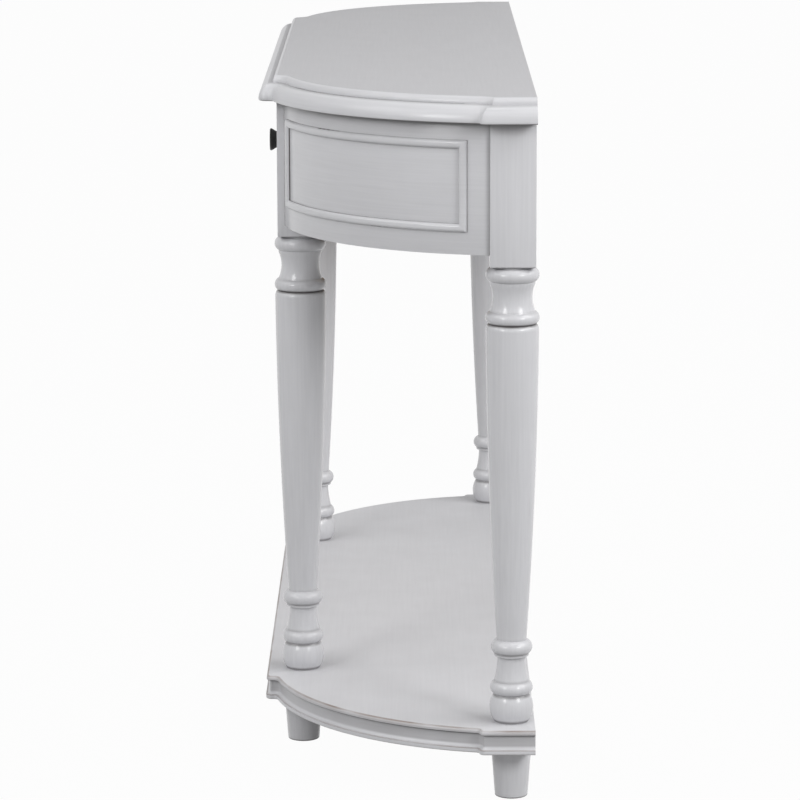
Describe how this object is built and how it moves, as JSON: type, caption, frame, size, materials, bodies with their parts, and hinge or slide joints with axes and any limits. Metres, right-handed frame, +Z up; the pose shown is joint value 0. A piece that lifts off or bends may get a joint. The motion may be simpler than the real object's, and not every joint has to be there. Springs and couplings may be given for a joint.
{
  "type": "demilune console table",
  "caption": "Shallow half-round console table in painted wood: moulded top over beaded aprons with drawers, on turned legs joined by a matching lower shelf with tapered feet.",
  "frame": {"origin": "middle of the table's plan at the floor", "axes": "+X along the table's length to the right of someone who faces the drawers, -Y out of the drawer fronts, +Y to the wall, +Z up"},
  "size_m": [1.22, 0.305, 0.765],
  "materials": {
    "painted_wood": "satin antique grey-white paint, brushed, with a thin darker glaze left in the grooves",
    "bare_wood": "planed pale hardwood with a thin matt sealer",
    "black_metal": "satin black paint",
    "zinc_steel": "zinc plated"
  },
  "bodies": {
    "table": {"top_board": "painted_wood", "shelf_board": "painted_wood", "front_rail_top": "painted_wood", "front_rail_low": "painted_wood", "front_stile": "painted_wood", "back_apron": "painted_wood", "leg_back_right": "painted_wood", "leg_back_left": "painted_wood", "leg_front_right": "painted_wood", "leg_front_left": "painted_wood", "foot_back_right": "painted_wood", "foot_back_left": "painted_wood", "foot_front_right": "painted_wood", "foot_front_left": "painted_wood", "end_apron_right": "painted_wood", "end_apron_left": "painted_wood", "end_bead_right": "painted_wood", "end_bead_left": "painted_wood", "corner_block_right": "bare_wood", "corner_block_left": "bare_wood", "drawer_runner_right": "bare_wood", "drawer_runner_left": "bare_wood", "drawer_runner_middle": "bare_wood", "drawer_kicker_right": "bare_wood", "drawer_kicker_left": "bare_wood", "drawer_kicker_middle": "bare_wood", "top_cleat_right": "bare_wood", "top_cleat_left": "bare_wood", "apron_dowels": "bare_wood", "leg_bolts": "zinc_steel", "top_screws": "zinc_steel"},
    "drawer_right": {"drawer_front_right": "painted_wood", "drawer_bead_right": "painted_wood", "drawer_side_inner_right": "bare_wood", "drawer_side_outer_right": "bare_wood", "drawer_back_right": "bare_wood", "drawer_bottom_right": "bare_wood", "knob_right": "black_metal", "knob_screw_right": "zinc_steel"},
    "drawer_left": {"drawer_front_left": "painted_wood", "drawer_bead_left": "painted_wood", "drawer_side_inner_left": "bare_wood", "drawer_side_outer_left": "bare_wood", "drawer_back_left": "bare_wood", "drawer_bottom_left": "bare_wood", "knob_left": "black_metal", "knob_screw_left": "zinc_steel"}
  },
  "joints": [
    {"name": "drawer_right_slide", "type": "slide", "parent": "table", "child": "drawer_right", "axis": [0, -1, 0], "range_m": [0, 0.16]},
    {"name": "drawer_left_slide", "type": "slide", "parent": "table", "child": "drawer_left", "axis": [0, -1, 0], "range_m": [0, 0.16]}
  ]
}
